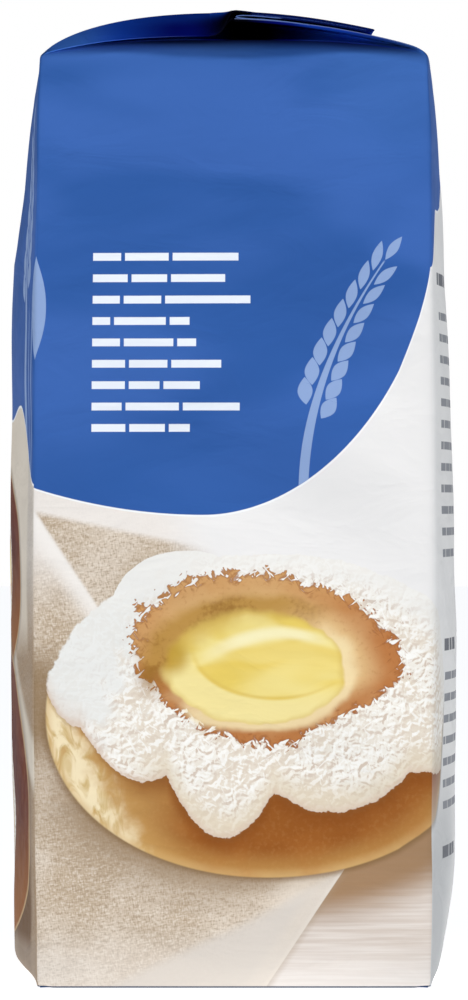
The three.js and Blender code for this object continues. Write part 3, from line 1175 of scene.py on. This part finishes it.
def build_bag():
    skin = placed("printed_bag", bag_paper())
    for finish in (
        narrow_side_print("near side print", 0, False),
        back_print("back print", NARROW_SIDE),
        narrow_side_print("far side print", NARROW_SIDE + WIDE_SIDE, True),
        front_print("front print", FAR_FOLD),
        blue_paper("blue roof paper", roof_tone),
    ):
        skin.data.materials.append(finish)
    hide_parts("flour_bag")

    mouth = placed("folded_mouth", folded_mouth())
    mouth.data.materials.append(blue_paper("blue mouth paper", mouth_tone))
    stations = mouth_path()
    mouth.data.materials.append(cut_paper("cut mouth layers", stations[-LOOP_POINTS][2], stations[-1][2]))
    thicken(mouth)

    flaps = []
    for side, name in ((-1, "foot_flap_front"), (1, "foot_flap_back")):
        flap = placed(name, foot_flap(side))
        flap.data.materials.append(blue_paper("blue " + name.replace("_", " ")))
        flap.data.materials.append(cut_paper("cut edge of " + name.replace("_", " ")))
        thicken(flap)
        flaps.append(flap)

    for piece in (skin, mouth, *flaps):
        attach(piece, "root")


# The studio, in metres

FLOOR_RADIUS = 6
FLOOR_GLOW = 0.9
HORIZON_LIGHT = 0.42
SKY_LIGHT = 0.10
LAMP_POWER = 17.6
LAMP_SIZE = 1.2
LAMP_PLACES = {"left softbox": (-1.1, -1.9, 0.42), "right softbox": (1.1, -1.9, 0.42)}
LAMP_AIM = (0, 0, 0.09)
CAMERA_PLACE = (0, -1.354, 0.092)
CAMERA_LENS = 248.3


def set_sockets(node, values):
    for name, value in values.items():
        node.inputs[name].default_value = value


def pale_floor():
    mesh = bmesh.new()
    bmesh.ops.create_circle(mesh, cap_ends=True, segments=96, radius=FLOOR_RADIUS / MM)
    floor = placed("floor", mesh)
    pale = Finish("pale floor", roughness=0.9, gloss=0.5)
    looks = {"Base Color": (0.6, 0.6, 0.6, 1), "Emission Color": (1, 1, 1, 1)}
    set_sockets(pale.surface, looks | {"Emission Strength": FLOOR_GLOW})
    floor.data.materials.append(pale.material)


def white_surround():
    """A surround that the camera sees as plain white. Its light is dim and bluish overhead."""
    world = bpy.data.worlds.new("white surround")
    world.use_nodes = True
    bpy.context.scene.world = world
    nodes = world.node_tree.nodes
    links = world.node_tree.links
    direction = nodes.new("ShaderNodeTexCoord")
    parts = nodes.new("ShaderNodeSeparateXYZ")
    links.new(direction.outputs["Generated"], parts.inputs[0])
    strength = nodes.new("ShaderNodeMapRange")
    strength.interpolation_type = "SMOOTHSTEP"
    set_sockets(strength, {"From Min": 0.10, "From Max": 0.45, "To Min": HORIZON_LIGHT, "To Max": SKY_LIGHT})
    links.new(parts.outputs["Z"], strength.inputs["Value"])
    overhead = nodes.new("ShaderNodeMapRange")
    set_sockets(overhead, {"From Min": 0.0, "From Max": 0.3})
    links.new(parts.outputs["Z"], overhead.inputs["Value"])
    tint = nodes.new("ShaderNodeMix")
    tint.data_type = "RGBA"
    set_sockets(tint, {6: (1, 1, 1, 1), 7: (0.5, 0.7, 1, 1)})
    links.new(overhead.outputs["Result"], tint.inputs[0])
    dim = nodes["Background"]
    links.new(tint.outputs[2], dim.inputs["Color"])
    links.new(strength.outputs["Result"], dim.inputs["Strength"])
    seen = nodes.new("ShaderNodeBackground")
    set_sockets(seen, {"Color": (1, 1, 1, 1)})
    rays = nodes.new("ShaderNodeLightPath")
    either = nodes.new("ShaderNodeMixShader")
    links.new(rays.outputs["Is Camera Ray"], either.inputs[0])
    links.new(dim.outputs[0], either.inputs[1])
    links.new(seen.outputs[0], either.inputs[2])
    links.new(either.outputs[0], nodes["World Output"].inputs["Surface"])


def softboxes():
    """Broad light from the near side, at the left and the right."""
    for name, place in LAMP_PLACES.items():
        lamp = bpy.data.lights.new(name, "AREA")
        lamp.shape = "SQUARE"
        lamp.size = LAMP_SIZE
        lamp.energy = LAMP_POWER
        holder = linked(name, lamp)
        holder.location = place
        aim = Vector(LAMP_AIM) - Vector(place)
        holder.rotation_euler = aim.to_track_quat("-Z", "Y").to_euler()


def camera():
    lens = bpy.data.cameras.new("camera")
    lens.sensor_width = 36
    lens.lens = CAMERA_LENS
    lens.clip_end = 50
    holder = linked("camera", lens)
    holder.location = CAMERA_PLACE
    holder.rotation_euler = (math.radians(90), 0, 0)
    bpy.context.scene.camera = holder


pale_floor()
white_surround()
softboxes()
camera()
bpy.context.scene.view_settings.view_transform = "Standard"
build_bag()
